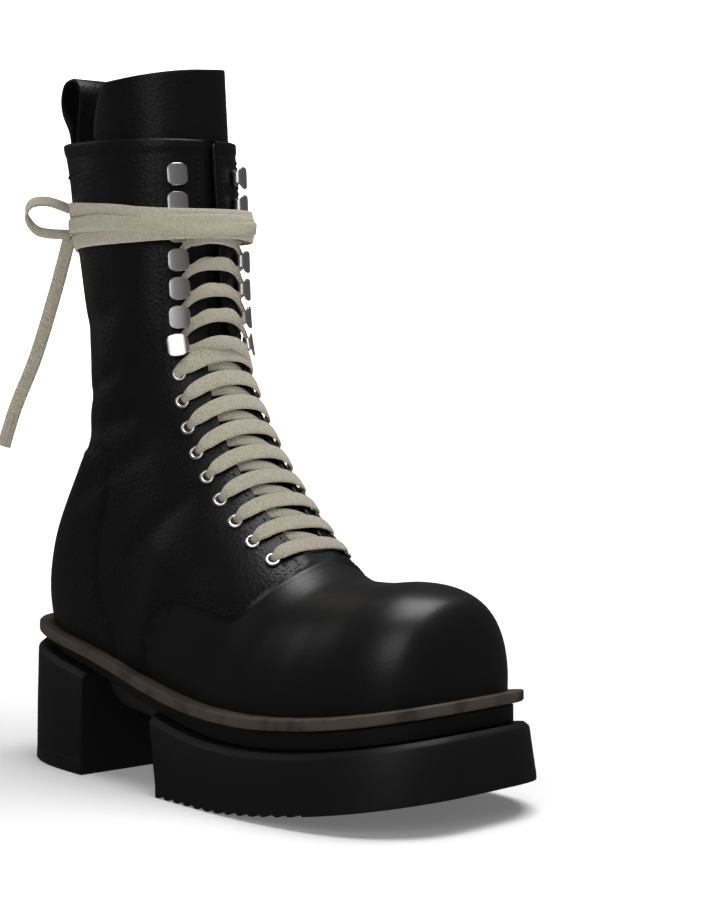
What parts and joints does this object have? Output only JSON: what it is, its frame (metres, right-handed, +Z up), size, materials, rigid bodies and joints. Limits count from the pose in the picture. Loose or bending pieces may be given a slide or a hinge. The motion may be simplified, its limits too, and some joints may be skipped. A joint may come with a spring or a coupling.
{
  "type": "combat boot",
  "caption": "Tall lace-up combat boot, right foot, with a round toe, speed hooks over eyelets, a side zip and a platform sole with a separate heel.",
  "frame": {"origin": "middle of the footprint box, on the floor under the sole", "axes": "+X towards the toe, +Y towards the inner side of the foot, +Z up the shaft"},
  "size_m": [0.312, 0.1354, 0.3743],
  "materials": {
    "leather": "black smooth and grained leather, semi-gloss",
    "tongue_leather": "black soft leather",
    "insole_leather": "brown-black matte leather board",
    "rubber": "black matte rubber",
    "welt_leather": "dark taupe edge",
    "metal": "satin nickel",
    "tape": "black woven tape",
    "lace": "beige flat woven lace"
  },
  "bodies": {
    "boot": {"eyelet_inner_1": "metal", "eyelet_inner_2": "metal", "eyelet_inner_3": "metal", "eyelet_inner_4": "metal", "eyelet_inner_5": "metal", "eyelet_inner_6": "metal", "eyelet_inner_7": "metal", "eyelet_inner_8": "metal", "eyelet_inner_9": "metal", "eyelet_outer_1": "metal", "eyelet_outer_2": "metal", "eyelet_outer_3": "metal", "eyelet_outer_4": "metal", "eyelet_outer_5": "metal", "eyelet_outer_6": "metal", "eyelet_outer_7": "metal", "eyelet_outer_8": "metal", "eyelet_outer_9": "metal", "heel_block": "rubber", "hook_inner_1": "metal", "hook_inner_2": "metal", "hook_inner_3": "metal", "hook_inner_4": "metal", "hook_inner_5": "metal", "hook_inner_6": "metal", "hook_inner_7": "metal", "hook_outer_1": "metal", "hook_outer_2": "metal", "hook_outer_3": "metal", "hook_outer_4": "metal", "hook_outer_5": "metal", "hook_outer_6": "metal", "hook_outer_7": "metal", "insole": "insole_leather", "lace_bars": "lace", "lace_crossings": "lace", "lace_end": "lace", "lace_loop": "lace", "lace_wrap": "lace", "midsole": "rubber", "outsole_forefoot": "rubber", "pull_loop": "leather", "tongue": "tongue_leather", "upper": "leather", "welt": "welt_leather", "zip_slider": "metal", "zip_tape": "tape", "zip_teeth": "metal"},
    "zip_pull": {"zip_pull": "metal"}
  },
  "joints": [
    {"name": "zip_tab_swing", "type": "hinge", "parent": "boot", "child": "zip_pull", "pos_m": [-0.10333, 0.03917, 0.3251], "axis": [0.9506, 0.3104, 0], "range_deg": [0, 165]}
  ]
}
